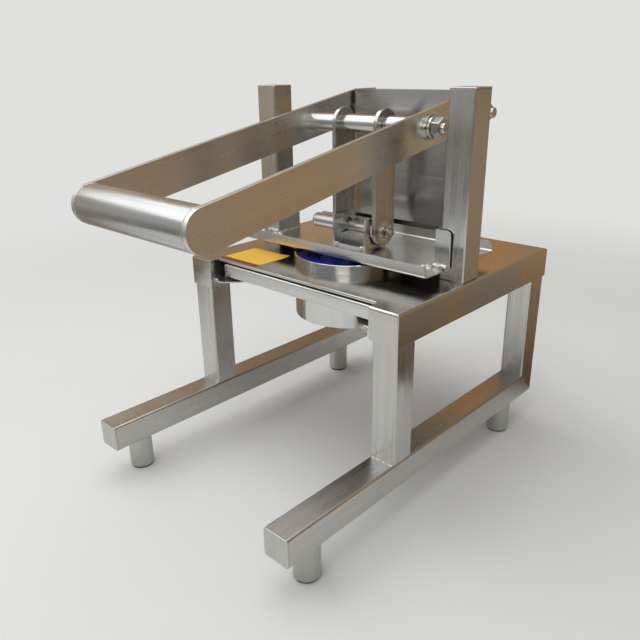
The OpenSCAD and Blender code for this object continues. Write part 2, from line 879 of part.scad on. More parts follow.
rod_washer_x = arm_out_x;
rod_spring_x = rod_washer_x + washer_t;
rod_nut_x = rod_spring_x + spring_washer_t;
rod_end_x = rod_nut_x + nut_t + rod_tip;

module cross_rod() {
    color(bright_steel) placed() cross_bar(rod_d, -rod_end_x, rod_end_x, rod_y, rod_h);
}

module rod_spacer(x0, x1) {
    color(bright_steel) placed() cross_ring(spacer_d, rod_d + 2 * fit_play, x0, x1, rod_y, rod_h);
}

module rod_spacer_left() {
    rod_spacer(-arm_in_x, -link_out_x - side_play);
}

module rod_spacer_middle() {
    rod_spacer(side_play - link_in_x, link_in_x - side_play);
}

module rod_spacer_right() {
    rod_spacer(link_out_x + side_play, arm_in_x);
}

module rod_washers() {
    color(bright_steel) placed() both_sides()
        cross_ring(washer_d, rod_d + 2 * fit_play, rod_washer_x, rod_spring_x, rod_y, rod_h);
}

module rod_spring_washers() {
    color(bright_steel) placed() both_sides() difference() {
        cross_ring(spring_washer_d, rod_d + 2 * fit_play, rod_spring_x, rod_nut_x, rod_y, rod_h);
        translate([rod_spring_x - over, rod_y - spring_split / 2, rod_h])
            cube([spring_washer_t + 2 * over, spring_split, spring_washer_d]);
    }
}

module rod_nuts() {
    color(bright_steel) placed() both_sides()
        cross_nut(nut_w, nut_t, rod_d + 2 * fit_play, rod_nut_x, rod_y, rod_h);
}

// ---- links

module link() {
    side_plate(link_in_x, link_t) difference() {
        union() {
            translate([rod_y - link_w / 2, pin_h]) square([link_w, link_l]);
            translate([rod_y, pin_h]) circle(d = link_w);
            translate([rod_y, rod_h]) circle(d = link_w);
        }
        translate([rod_y, pin_h]) circle(d = pin_d + 2 * fit_play);
        translate([rod_y, rod_h]) circle(d = rod_d + 2 * fit_play);
    }
}

module link_right() {
    color(steel) placed() link();
}

module link_left() {
    color(steel) placed() mirror([1, 0, 0]) link();
}

pin_shoulder_x = link_out_x + side_play;
pin_nut_x = pin_shoulder_x + pin_washer_t;
knob_x = link_out_x + side_play;

module link_pin() {
    color(bright_steel) placed() {
        cross_bar(pin_d, -knob_x - knob_l + knob_edge_r, pin_shoulder_x, rod_y, pin_h);
        cross_bar(pin_end_d, pin_shoulder_x - over, pin_nut_x + pin_nut_t + rod_tip, rod_y, pin_h);
    }
}

module pin_knob() {
    r = knob_d / 2;
    e = knob_edge_r;
    color(bright_steel) placed() translate([-knob_x, rod_y, pin_h]) rotate([0, -90, 0]) difference() {
        rotate_extrude() {
            square([r, knob_l - e]);
            square([r - e, knob_l]);
            translate([r - e, knob_l - e]) circle(e);
        }
        translate([0, 0, -over]) cylinder(d = pin_d + 2 * fit_play, h = knob_l - e + over + fit_play);
    }
}

module pin_washers() {
    color(bright_steel) placed() {
        cross_ring(pin_washer_d, pin_end_d + 2 * fit_play, pin_shoulder_x, pin_nut_x, rod_y, pin_h);
        both_sides() cross_ring(ear_washer_d, pin_d + 2 * fit_play, ear_w / 2 + side_play, link_in_x, rod_y, pin_h);
    }
}

module pin_nut() {
    color(bright_steel) placed() cross_nut(pin_nut_w, pin_nut_t, pin_end_d + 2 * fit_play, pin_nut_x, rod_y, pin_h);
}

base_rail_left();
base_rail_right();
rail_end_caps();
front_leg_left();
front_leg_right();
rear_leg_left();
rear_leg_right();
foot_front_left();
foot_front_right();
foot_rear_left();
foot_rear_right();
table_top();
blank_sticker();
feed_ring();
guide_post_left();
guide_post_right();
post_caps();
tray_rail_left();
tray_rail_right();
hinge_column();
fulcrum_rod();
fulcrum_washers();
fulcrum_nuts();
tray_plate();
blade_frame();
slicing_blades();
chute_tube();
press_pan();
guide_shoe_left();
guide_shoe_right();
clevis_bracket();
pusher_block();
pusher_screws();
lever_arm_left();
lever_arm_right();
handle_pipe();
cross_rod();
rod_spacer_left();
rod_spacer_middle();
rod_spacer_right();
rod_washers();
rod_spring_washers();
rod_nuts();
link_left();
link_right();
link_pin();
pin_knob();
pin_washers();
pin_nut();
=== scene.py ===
# %% [markdown]
# The onion slicer, dressed for a picture.
# The CAD model gives every piece its size and place. This notebook gives the pieces what a CAD solid
# leaves out: broken edges that catch the light, bends in folded sheet, welds, threads, and the
# finishes of brushed, polished and folded stainless steel. Work runs from the camera and the light,
# through the materials, to the pieces, group by group.

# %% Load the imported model
import json
import math

import bmesh
import bpy
from mathutils import Matrix, Vector


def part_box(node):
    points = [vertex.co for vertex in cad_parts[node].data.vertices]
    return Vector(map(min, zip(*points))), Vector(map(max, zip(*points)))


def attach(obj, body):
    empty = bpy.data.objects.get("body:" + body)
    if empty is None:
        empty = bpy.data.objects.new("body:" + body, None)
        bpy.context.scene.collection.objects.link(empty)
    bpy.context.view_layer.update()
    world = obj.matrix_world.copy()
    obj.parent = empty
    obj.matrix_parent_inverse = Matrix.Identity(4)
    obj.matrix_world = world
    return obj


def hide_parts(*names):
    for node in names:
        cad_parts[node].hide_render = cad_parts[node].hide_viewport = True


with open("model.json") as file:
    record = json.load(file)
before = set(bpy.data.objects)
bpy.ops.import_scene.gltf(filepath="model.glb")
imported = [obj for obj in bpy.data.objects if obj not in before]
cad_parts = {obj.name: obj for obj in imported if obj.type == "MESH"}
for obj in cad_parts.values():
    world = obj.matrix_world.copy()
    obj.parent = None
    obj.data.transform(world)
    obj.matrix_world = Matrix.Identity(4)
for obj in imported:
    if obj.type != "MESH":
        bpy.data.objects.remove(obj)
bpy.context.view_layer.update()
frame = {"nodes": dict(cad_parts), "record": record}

# %% [markdown]
# One millimetre is the unit that a maker thinks in, so it gets a name, and every length of the
# machine is written as a number of millimetres times MM. The record says which body a node moves
# with and which material slot it has; the pieces that stand for a node take its body from it.

# %% Units and the record's lists
MM = 0.001
RECORD = frame["record"]
BODY_OF = {node: body for body, members in RECORD["behaviour"]["bodies"].items() for node in members}
SLOT_OF = {part["node"]: part["material_slot"] for part in RECORD["subparts"]}

# %% [markdown]
# The camera stands where the photographer stood: in front of the grip, to the right and above. Its
# three angles and its place were solved from straight edges of the machine, so the render can be
# laid over the photograph. The focal length is given in pixels of a 640 pixel picture and turned
# into millimetres on a 36 mm sensor.

# %% Camera
PICTURE = 640
FOCAL_PIXELS = 645.91
SENSOR = 36
PITCH, ROLL, TURN = 0.371865, -0.014793, -0.756555
CAMERA_AT = Vector((476.17, -509.07, 440.33)) * MM

view = Matrix.Rotation(ROLL, 3, "Y") @ Matrix.Rotation(PITCH, 3, "X") @ Matrix.Rotation(TURN, 3, "Z")
right, ahead, up = view
camera_data = bpy.data.cameras.new("photo_camera")
camera_data.sensor_width = SENSOR
camera_data.lens = FOCAL_PIXELS / PICTURE * SENSOR
camera = bpy.data.objects.new("photo_camera", camera_data)
bpy.context.scene.collection.objects.link(camera)
camera.matrix_world = Matrix.Translation(CAMERA_AT) @ Matrix((right, up, -ahead)).transposed().to_4x4()
bpy.context.scene.camera = camera
print("lens in mm:", round(camera_data.lens, 2))

# %% [markdown]
# Colours are written as the sRGB hex values that a colour picker shows. Shaders work with linear
# light, so one function turns one into the other. A second small function adds a shader node,
# sets its options and its sockets, and links a socket where it is given another node's output.
# Sockets go by name, or by number where a node has several of one name. The Mix node is such a one,
# so the numbers of its share, of its two colours and of the mixed colour get names.

# %% Colour and node helpers
SHARE, FIRST, SECOND, MIXED = 0, 6, 7, 2


def linear(code):
    """Linear red, green, blue and alpha of a hex colour, by the curve of the sRGB standard."""
    shares = [int(code[i:i + 2], 16) / 255 for i in (1, 3, 5)]
    return [s / 12.92 if s <= 0.04045 else ((s + 0.055) / 1.055) ** 2.4 for s in shares] + [1]


def add(tree, kind, sockets=None, **options):
    """Adds a shader node; sockets holds values, or the outputs that they are linked from."""
    node = tree.nodes.new("ShaderNode" + kind)
    for name, value in options.items():
        setattr(node, name, value)
    for name, value in (sockets or {}).items():
        if isinstance(value, bpy.types.NodeSocket):
            tree.links.new(value, node.inputs[name])
        else:
            node.inputs[name].default_value = value
    return node


def new_material(name):
    """An empty node material and its tree."""
    material = bpy.data.materials.new(name)
    material.use_nodes = True
    material.node_tree.nodes.clear()
    return material, material.node_tree


print("light grey is", [round(v, 3) for v in linear("#C8C8C8")])

# %% [markdown]
# The floor is plain and pale. Close to the machine it is a matt surface that takes its shadow.
# Further out it fades into an even tone of the same colour, so that no edge or horizon shows behind
# the machine.

# %% Floor
FLOOR_TONE = "#E0E0DE"
FLOOR_METRES = 24
FLOOR_NEAR, FLOOR_FAR = 600 * MM, 1600 * MM

bpy.ops.object.select_all(action="DESELECT")
bpy.ops.mesh.primitive_plane_add(size=FLOOR_METRES)
floor = bpy.context.object
floor.name = "studio_floor"
floor_material, tree = new_material("matt_studio_floor")
place = add(tree, "TexCoord")
distance = add(tree, "VectorMath", {0: place.outputs["Object"]}, operation="LENGTH")
fade = add(tree, "MapRange", {"Value": distance.outputs["Value"], "From Min": FLOOR_NEAR,
                              "From Max": FLOOR_FAR}, interpolation_type="SMOOTHSTEP")
matt = add(tree, "BsdfPrincipled", {"Base Color": linear(FLOOR_TONE), "Roughness": 0.75})
even = add(tree, "Emission", {"Color": linear(FLOOR_TONE)})
mixed = add(tree, "MixShader", {0: fade.outputs[0], 1: matt.outputs[0], 2: even.outputs[0]})
add(tree, "OutputMaterial", {"Surface": mixed.outputs[0]})
floor.data.materials.append(floor_material)
print("floor tone", FLOOR_TONE)

# %% [markdown]
# Bare metal looks like what it reflects, so its surroundings are half of its finish. Three soft
# lamps give daylight from the left and a little light from above and in front. The world is pale: the
# camera sees it at full strength, reflections see it dimmer, and as a light it is dimmer still. Four
# upright cards, which the camera doesn't see, give the metal its tones, as the flags of a product
# photographer do: a brown one behind for the faces that look up, a brown one on the right for the
# right faces, and two grey ones in front, which the front faces and upright corners mirror.

# %% World, lamps and cards
WORLD_TONE = "#E0E0DE"
WORLD_LIGHT, WORLD_GLOSS = 0.5, 0.72
LAMP_AIM = (0, 0, 0.2)
bpy.context.scene.view_settings.view_transform = "Standard"

world = bpy.data.worlds.new("studio_air")
bpy.context.scene.world = world
world.use_nodes = True
tree = world.node_tree
tree.nodes.clear()
path = add(tree, "LightPath")
seen = add(tree, "MapRange", {"Value": path.outputs["Is Camera Ray"], "To Min": WORLD_LIGHT, "To Max": 1})
gloss = add(tree, "Math", {0: path.outputs["Is Glossy Ray"], 1: WORLD_GLOSS}, operation="MULTIPLY")
strength = add(tree, "Math", {0: seen.outputs[0], 1: gloss.outputs[0]}, operation="MAXIMUM")
air = add(tree, "Background", {"Color": linear(WORLD_TONE), "Strength": strength.outputs[0]})
add(tree, "OutputWorld", {"Surface": air.outputs[0]})


def lamp(name, at, width, height, watts, tone):
    """A soft rectangular lamp that looks at the machine; lengths in metres."""
    data = bpy.data.lights.new(name, "AREA")
    data.shape = "RECTANGLE"
    data.size, data.size_y = width, height
    data.energy = watts
    data.color = linear(tone)[:3]
    thing = bpy.data.objects.new(name, data)
    bpy.context.scene.collection.objects.link(thing)
    thing.location = at
    thing.rotation_euler = (Vector(LAMP_AIM) - Vector(at)).to_track_quat("-Z", "Y").to_euler()


lamp("window_softbox", at=(-2.0, -0.8, 2.4), width=3.4, height=2.4, watts=35, tone="#FFFFFF")
lamp("overhead_softbox", at=(-0.1, -0.1, 1.6), width=1.7, height=1.2, watts=12, tone="#FBFCFF")
lamp("front_softbox", at=(0.7, -1.5, 1.1), width=0.9, height=0.7, watts=5, tone="#FFFDF8")

# Most of a noise texture's values lie between these two
NOISE_LOW, NOISE_HIGH = 0.35, 0.65
# Level bands on the cards: their size in metres, and how much lighter and darker they make a card
BAND_SIZE, BAND_CHANGE = (0.8, 0.8, 0.1), 0.15
# Upright stripes: how many a metre, the noise values where they begin and are full, and their tone
STRIPE_SCALE, STRIPE_FROM, STRIPE_FULL, STRIPE_TONE = 12.0, 0.48, 0.6, "#868A82"


def card(name, start, end, low, high, tones, rise, shade, stripes=0.0):
    """An upright card that only reflections see, between two floor points and two heights, in metres.

    Its tones run along it. Below the height rise it darkens to the given shade, and stripes is the
    strength of its cooler upright stripes."""
    bpy.ops.object.select_all(action="DESELECT")
    bpy.ops.mesh.primitive_plane_add(size=1)
    sheet = bpy.context.object
    sheet.name = name
    start, end = Vector(start + (0,)), Vector(end + (0,))
    for point, (s, t) in zip(sheet.data.vertices, ((0, 0), (1, 0), (0, 1), (1, 1))):
        point.co = start.lerp(end, s) + Vector((0, 0, low + (high - low) * t))
    material, tree = new_material(name + "_board")
    place = add(tree, "TexCoord").outputs["Object"]
    way = (end - start).normalized()
    along = add(tree, "VectorMath", {0: place, 1: way}, operation="DOT_PRODUCT")
    share = add(tree, "MapRange", {"Value": along.outputs["Value"], "From Min": start.dot(way),
                                   "From Max": end.dot(way)})
    plain = add(tree, "Mix", {SHARE: share.outputs[0], FIRST: linear(tones[0]), SECOND: linear(tones[1])},
                data_type="RGBA")
    upright = add(tree, "TexNoise", {"W": along.outputs["Value"], "Scale": STRIPE_SCALE, "Detail": 1.0},
                  noise_dimensions="1D")
    cool = add(tree, "MapRange", {"Value": upright.outputs[0], "From Min": STRIPE_FROM,
                                  "From Max": STRIPE_FULL, "To Max": stripes})
    striped = add(tree, "Mix", {SHARE: cool.outputs[0], FIRST: plain.outputs[MIXED],
                                SECOND: linear(STRIPE_TONE)}, data_type="RGBA")
    height = add(tree, "SeparateXYZ", {0: place})
    fall = add(tree, "MapRange", {"Value": height.outputs["Z"], "From Max": rise, "To Min": shade,
                                  "To Max": 1})
    banded = add(tree, "Mapping", {"Vector": place, "Scale": BAND_SIZE}, vector_type="TEXTURE")
    bands = add(tree, "TexNoise", {"Vector": banded.outputs[0], "Scale": 1.0, "Detail": 2.0})
    uneven = add(tree, "MapRange", {"Value": bands.outputs[0], "From Min": NOISE_LOW, "From Max": NOISE_HIGH,
                                    "To Min": 1 - BAND_CHANGE, "To Max": 1 + BAND_CHANGE})
    power = add(tree, "Math", {0: fall.outputs[0], 1: uneven.outputs[0]}, operation="MULTIPLY")
    glow = add(tree, "Emission", {"Color": striped.outputs[MIXED], "Strength": power.outputs[0]})
    add(tree, "OutputMaterial", {"Surface": glow.outputs[0]})
    sheet.data.materials.append(material)
    sheet.visible_camera = False
    sheet.visible_diffuse = False
    sheet.visible_shadow = False


REAR_CORNER, RIGHT_CORNER, FRONT_CORNER = (-0.01, 0.45), (1.5, -0.63), (0.2, -1.56)
card("right_card", REAR_CORNER, RIGHT_CORNER, low=0, high=0.8, tones=("#AA8862", "#A08A70"), rise=0.2,
     shade=0.2, stripes=0.5)
card("rear_card", REAR_CORNER, (-0.9, -0.76), low=0, high=0.6, tones=("#B08656", "#B0ABA2"), rise=0.25,
     shade=0.4)
card("front_card", (-1.3, -0.2), FRONT_CORNER, low=0.04, high=0.42, tones=("#D4D2CE", "#726F6B"), rise=0.35,
     shade=0.03)
card("near_card", FRONT_CORNER, RIGHT_CORNER, low=0.04, high=0.6, tones=("#7C7974", "#787470"), rise=0.4,
     shade=0.2)

# %% [markdown]
# Most of the machine is stainless steel that was brushed with an abrasive belt. A brushed surface is
# thousands of fine parallel scratches: they spread a highlight across the grain, and they vary a
# little in depth and shine. The material copies that with noise that is drawn out along the grain,
# which drives the roughness, a slight bump and a slight change of tone. A real scratch is under
# 0.1 mm wide and would not show, so the lines are drawn about 1 mm wide, with broader bands of
# several millimetres as a belt leaves them. The tangent, which has to lie across the grain, turns
# the highlight the same way.

# %% Brushed stainless steel
# The broad bands are this many times as large as the lines, and have this share in the pattern
BROADER, BROAD_SHARE = 7, 0.45
# Handling leaves slightly duller clouds of this size, and rolled sheet has swells of that one
CLOUD, CLOUD_HIGH, CLOUD_SHINE, SWELL = 60 * MM, 0.7, -0.02, 90 * MM
# A painted highlight: one spot is painted paler, at its palest in this share of the spot
HIGHLIGHT_TONE, HIGHLIGHT_CORE = "#EDEFEB", 0.4


def brushed_steel(name, grain, tones=("#B9B8B5", "#D2D1CE"), rough=0.3, spread=0.06, line=1.0, run=70,
                  depth=0.05, stretch=0.5, waves=0.0, slope=0.0, painted_highlight=None):
    """Steel whose scratches run along grain (x, y or z): line and run are their width and length in mm.

    The sizes depth and waves are the heights in mm of the scratches and of a sheet's slow unevenness, slope
    turns the grain about x, and the last argument gives one spot (y, z, radius) in metres that is painted
    paler, a painted highlight."""
    material, tree = new_material(name)
    place = add(tree, "TexCoord").outputs["Object"]
    axis = "xyz".index(grain)
    size = [line * MM] * 3
    size[axis] = run * MM
    turn = (slope, 0, 0)
    fine_at = add(tree, "Mapping", {"Vector": place, "Scale": size, "Rotation": turn}, vector_type="TEXTURE")
    fine = add(tree, "TexNoise", {"Vector": fine_at.outputs[0], "Scale": 1.0, "Detail": 3.0,
                                  "Roughness": 0.6})
    wide = [BROADER * v for v in size]
    wide_at = add(tree, "Mapping", {"Vector": place, "Scale": wide, "Rotation": turn}, vector_type="TEXTURE")
    bands = add(tree, "TexNoise", {"Vector": wide_at.outputs[0], "Scale": 1.0, "Detail": 1.0})
    # Where the Mix node mixes plain values, they are its sockets 2 and 3
    streaks = add(tree, "Mix", {SHARE: BROAD_SHARE, 2: fine.outputs[0], 3: bands.outputs[0]})
    clouds = add(tree, "TexNoise", {"Vector": place, "Scale": 1 / CLOUD, "Detail": 3.0})
    shine = add(tree, "MapRange", {"Value": streaks.outputs[0], "From Min": NOISE_LOW,
                                   "From Max": NOISE_HIGH, "To Min": rough + spread, "To Max": rough - spread})
    dull = add(tree, "MapRange", {"Value": clouds.outputs[0], "From Min": NOISE_LOW, "From Max": CLOUD_HIGH,
                                  "To Min": CLOUD_SHINE, "To Max": spread})
    roughness = add(tree, "Math", {0: shine.outputs[0], 1: dull.outputs[0]}, operation="ADD")
    tone = add(tree, "Mix", {SHARE: streaks.outputs[0], FIRST: linear(tones[0]), SECOND: linear(tones[1])},
               data_type="RGBA")
    # A painted highlight: the tone turns paler towards one spot
    if painted_highlight:
        y, z, radius = painted_highlight
        flat = add(tree, "VectorMath", {0: place, 1: (0, 1, 1)}, operation="MULTIPLY")
        away = add(tree, "VectorMath", {0: flat.outputs[0], 1: (0, y, z)}, operation="DISTANCE")
        close = add(tree, "MapRange", {"Value": away.outputs["Value"], "From Min": radius,
                                       "From Max": radius * HIGHLIGHT_CORE}, interpolation_type="SMOOTHSTEP")
        tone = add(tree, "Mix", {SHARE: close.outputs[0], FIRST: tone.outputs[MIXED],
                                 SECOND: linear(HIGHLIGHT_TONE)}, data_type="RGBA")
    bump = add(tree, "Bump", {"Height": streaks.outputs[0], "Distance": depth * MM, "Strength": 1.0})
    if waves:
        swell = add(tree, "TexNoise", {"Vector": place, "Scale": 1 / SWELL, "Detail": 1.0})
        bump = add(tree, "Bump", {"Height": swell.outputs[0], "Distance": waves * MM, "Strength": 1.0,
                                  "Normal": bump.outputs[0]})
    across = [1.0, 1.0, 1.0]
    across[axis] = 0.0
    tangent = add(tree, "CombineXYZ", {0: across[0], 1: across[1], 2: across[2]})
    steel = add(tree, "BsdfPrincipled", {
        "Base Color": tone.outputs[MIXED], "Metallic": 1.0, "Roughness": roughness.outputs[0],
        "Normal": bump.outputs[0], "Anisotropic": stretch, "Tangent": tangent.outputs[0]})
    add(tree, "OutputMaterial", {"Surface": steel.outputs[0]})
    return material


rail_steel = brushed_steel("belt_brushed_tube_lengthwise", "y")
leg_steel = brushed_steel("belt_brushed_tube_upright", "z", rough=0.24, run=110, spread=0.08)
cap_steel = brushed_steel("belt_ground_end_plate", "z", rough=0.36, run=25, line=1.4)
print("brushed finishes:", [m.name for m in bpy.data.materials if "brushed" in m.name])

# %% [markdown]
# The other steels are the same metal with another surface. Cold rolled sheet is smoother and a little
# wavy, so it gives blurred but deep reflections, and the column's sheet is brighter still, with fine
# lines across. Pipe, rods, pin and knob are polished along their length. The spacers on the cross
# rod are tube that was left satin. Nuts, washers and screws are turned or pressed from bright bar, so
# they glint. Ring and chute are rolled strip, the feet are turned, and the blades are ground.

# %% Sheet, bar and polished steels
table_steel = brushed_steel("cold_rolled_table_sheet", "x", rough=0.16, spread=0.05, line=1.2, run=120,
                            depth=0.02, stretch=0.35, waves=0.5)
pan_steel = brushed_steel("cold_rolled_pan_sheet", "x", tones=("#CCCCCA", "#DFDFDD"), rough=0.23,
                          spread=0.03, line=0.8, run=150, depth=0.01, stretch=0.35, waves=0.3)
column_steel = brushed_steel("bright_column_sheet", "x", tones=("#A4A4A3", "#CBCBC9"), rough=0.17,
                             spread=0.07, line=0.8, run=240, depth=0.02, stretch=0.6, waves=0.15)
tray_steel = brushed_steel("cold_rolled_tray_sheet", "x", tones=("#C6C6C4", "#E0E0DE"), rough=0.26,
                           spread=0.05, run=60, depth=0.03, stretch=0.35)
polished_steel = brushed_steel("polished_pipe_and_pin", "x", tones=("#A9ABAC", "#CBCCCC"), rough=0.24,
                               spread=0.08, line=0.6, run=160, depth=0.02, stretch=0.3)
spacer_steel = brushed_steel("turned_satin_spacers", "x", tones=("#A9ABAB", "#CCCDCC"), rough=0.2,
                             spread=0.05, line=0.6, run=30, depth=0.02, stretch=0.2)
fastener_steel = brushed_steel("turned_fastener_steel", "x", tones=("#B0B0AD", "#D6D6D3"), rough=0.13,
                               spread=0.04, line=0.8, run=6, depth=0.02, stretch=0.1)
ring_steel, chute_steel = [
    brushed_steel(name, "z", tones=tones, rough=0.17, spread=0.05, line=1.5, run=40, depth=0.02, stretch=0.2)
    for name, tones in (("rolled_ring_strip", ("#ABABA9", "#C4C4C2")),
                        ("rolled_chute_strip", ("#C8C8C6", "#DEDEDC")))]
foot_steel = brushed_steel("turned_foot_steel", "z", tones=("#AEAEAA", "#C6C6C2"), rough=0.33,
                           spread=0.05, run=60, depth=0.03, stretch=0.3)
blade_steel = brushed_steel("ground_blade_steel", "z", tones=("#C2C3C4", "#DCDDDE"), rough=0.2,
                            spread=0.05, line=0.8, run=8, depth=0.02, stretch=0.4)
print("materials so far:", len(bpy.data.materials))

# %% [markdown]
# A weld that was brushed but not ground is a row of flattened ripples with a skin of oxide, which
# makes it blotchy and duller than the sheet. The pusher is a block of blue polyethylene, turned on a
# lathe: a smooth, slightly waxy plastic with faint rings from the tool. The sticker is yellow film
# with a clear glossy coat; it stays blank, with a dark red band along its front edge. The thin discs
# under the feet are matt black, with a mottled tone.

# %% Weld, blue plastic, sticker and foot pad
WELD_BLOTCH, WELD_LOW, WELD_HIGH = 3 * MM, 0.38, 0.62
# The tool moves 0.3 mm a turn; its rings are drawn 7.54 mm apart so that they show. A wave texture
# runs through 20 radians in one unit of its scale
TOOL_RINGS, WAVE_RATE = 7.54 * MM, 20
# How large the plastic's clouds, the black disc's mottling and the film's faded patches are
PLASTIC_CLOUD, DISC_MOTTLE, SUN_FADE = 25 * MM, 4 * MM, 30 * MM
# Ink is a little uneven, in flecks of about half a millimetre
INK_FLECK, RED_BAND = 0.5 * MM, 7 * MM


def weld_material():
    """Brushed weld metal with a blotchy skin."""
    material, tree = new_material("wire_brushed_weld")
    place = add(tree, "TexCoord").outputs["Object"]
    blotch = add(tree, "TexNoise", {"Vector": place, "Scale": 1 / WELD_BLOTCH, "Detail": 3.0})
    share = add(tree, "MapRange", {"Value": blotch.outputs[0], "From Min": WELD_LOW, "From Max": WELD_HIGH})
    tone = add(tree, "Mix", {SHARE: share.outputs[0], FIRST: linear("#A9A6A1"), SECOND: linear("#E8E6E1")},
               data_type="RGBA")
    bump = add(tree, "Bump", {"Height": blotch.outputs[0], "Distance": 0.2 * MM, "Strength": 1.0})
    steel = add(tree, "BsdfPrincipled", {"Base Color": tone.outputs[MIXED], "Metallic": 1.0, "Roughness": 0.48,
                                         "Normal": bump.outputs[0]})
    add(tree, "OutputMaterial", {"Surface": steel.outputs[0]})
    return material


def pusher_material(centre):
    """Turned blue plastic; the tool's rings lie round the given centre."""
    material, tree = new_material("turned_blue_polyethylene")
    place = add(tree, "TexCoord").outputs["Object"]
    middle = add(tree, "Mapping", {"Vector": place, "Location": centre}, vector_type="TEXTURE")
    rings = add(tree, "TexWave", {"Vector": middle.outputs[0], "Scale": math.tau / WAVE_RATE / TOOL_RINGS,
                                  "Distortion": 0.4, "Detail": 1.0}, wave_type="RINGS", rings_direction="Z")
    cloud = add(tree, "TexNoise", {"Vector": place, "Scale": 1 / PLASTIC_CLOUD, "Detail": 3.0})
    tone = add(tree, "Mix", {SHARE: cloud.outputs[0], FIRST: linear("#0E1B66"), SECOND: linear("#15267E")},
               data_type="RGBA")
    rough = add(tree, "MapRange", {"Value": rings.outputs[1], "To Min": 0.2, "To Max": 0.34})
    bump = add(tree, "Bump", {"Height": rings.outputs[1], "Distance": 0.02 * MM, "Strength": 0.6})
    plastic = add(tree, "BsdfPrincipled", {
        "Base Color": tone.outputs[MIXED], "Roughness": rough.outputs[0], "IOR": 1.51,
        "Normal": bump.outputs[0], "Coat Weight": 0.15, "Coat Roughness": 0.1})
    add(tree, "OutputMaterial", {"Surface": plastic.outputs[0]})
    return material


def sticker_material(front):
    """Yellow film with a dark red band along its front edge, which lies at front."""
    material, tree = new_material("printed_vinyl_film")
    place = add(tree, "TexCoord").outputs["Object"]
    apart = add(tree, "SeparateXYZ", {0: place})
    red = add(tree, "Math", {0: apart.outputs["Y"], 1: front + RED_BAND}, operation="LESS_THAN")
    flecks = add(tree, "TexNoise", {"Vector": place, "Scale": 1 / INK_FLECK, "Detail": 2.0})
    sun = add(tree, "TexNoise", {"Vector": place, "Scale": 1 / SUN_FADE, "Detail": 2.0})
    yellow = add(tree, "Mix", {SHARE: sun.outputs[0], FIRST: linear("#E3AC2C"), SECOND: linear("#F2C845")},
                 data_type="RGBA")
    dark = add(tree, "Mix", {SHARE: flecks.outputs[0], FIRST: linear("#5A1C14"), SECOND: linear("#7C2A1C")},
               data_type="RGBA")
    both = add(tree, "Mix", {SHARE: red.outputs[0], FIRST: yellow.outputs[MIXED],
                             SECOND: dark.outputs[MIXED]}, data_type="RGBA")
    bump = add(tree, "Bump", {"Height": flecks.outputs[0], "Distance": 0.01 * MM, "Strength": 0.4})
    film = add(tree, "BsdfPrincipled", {
        "Base Color": both.outputs[MIXED], "Roughness": 0.38, "IOR": 1.5, "Normal": bump.outputs[0],
        "Coat Weight": 0.3, "Coat Roughness": 0.15})
    add(tree, "OutputMaterial", {"Surface": film.outputs[0]})
    return material


def dark_disc_material():
    """A matt black disc under the feet, with a mottled tone."""
    material, tree = new_material("matt_black_disc")
    place = add(tree, "TexCoord").outputs["Object"]
    mottle = add(tree, "TexNoise", {"Vector": place, "Scale": 1 / DISC_MOTTLE, "Detail": 4.0})
    tone = add(tree, "Mix", {SHARE: mottle.outputs[0], FIRST: linear("#202020"), SECOND: linear("#3A3938")},
               data_type="RGBA")
    bump = add(tree, "Bump", {"Height": mottle.outputs[0], "Distance": 0.05 * MM, "Strength": 0.5})
    rubber = add(tree, "BsdfPrincipled", {"Base Color": tone.outputs[MIXED], "Roughness": 0.7,
                                          "Normal": bump.outputs[0]})
    add(tree, "OutputMaterial", {"Surface": rubber.outputs[0]})
    return material


weld_steel = weld_material()
pusher_low, pusher_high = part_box("pusher_block")
pusher_blue = pusher_material((pusher_low + pusher_high) / 2)
sticker_low, sticker_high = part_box("blank_sticker")
sticker_film = sticker_material(sticker_low.y)
dark_disc_finish = dark_disc_material()
print("pusher is", round((pusher_high.x - pusher_low.x) / MM, 1), "mm wide")

# %% [markdown]
# Blender's operators act on whatever is selected, so a few helpers keep that in hand: one makes a
# piece the only selected one, one applies a modifier, one selects faces or edges by a test, and one
# copies a finished piece to another place. The last one puts a piece in the object: on its body, in
# place of its CAD nodes.

# %% Modelling helpers
def only(piece):
    """Selects one object, and nothing else."""
    if bpy.context.mode != "OBJECT":
        bpy.ops.object.mode_set(mode="OBJECT")
    bpy.ops.object.select_all(action="DESELECT")
    piece.select_set(True)
    bpy.context.view_layer.objects.active = piece


def apply(piece, kind, **options):
    """Adds a modifier and applies it."""
    only(piece)
    modifier = piece.modifiers.new(kind.lower(), kind)
    for name, value in options.items():
        setattr(modifier, name, value)
    bpy.ops.object.modifier_apply(modifier=modifier.name)


def pick(piece, kind, wanted):
    """Goes to edit mode with just the faces or edges selected that pass the test; returns how many."""
    only(piece)
    bpy.ops.object.mode_set(mode="EDIT")
    bpy.ops.mesh.select_mode(type={"faces": "FACE", "edges": "EDGE"}[kind])
    bpy.ops.mesh.select_all(action="DESELECT")
    mesh = bmesh.from_edit_mesh(piece.data)
    found = [part for part in getattr(mesh, kind) if wanted(part)]
    for part in found:
        part.select_set(True)
    mesh.select_flush_mode()
    bmesh.update_edit_mesh(piece.data)
    return len(found)


def smooth(piece, angle=32):
    """Smooth shading up to an angle in degrees, with flat faces kept flat."""
    only(piece)
    bpy.ops.object.transform_apply(location=True, rotation=True, scale=True)
    bpy.ops.object.shade_smooth_by_angle(angle=math.radians(angle))
    apply(piece, "WEIGHTED_NORMAL", weight=80, keep_sharp=True)


def moved_copy(piece, name, change):
    """A copy with its own mesh, whose points are moved by a matrix."""
    copy = bpy.data.objects.new(name, piece.data.copy())
    bpy.context.scene.collection.objects.link(copy)
    copy.data.transform(change)
    return copy


def fit(piece, material, *nodes, body=None, slot=None):
    """Gives a piece its material and body, and lets it stand for its CAD nodes; slot is not used."""
    piece.data.materials.clear()
    piece.data.materials.append(material)
    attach(piece, body or BODY_OF[nodes[0]])
    if nodes:
        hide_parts(*nodes)
    return piece


print("helpers ready")

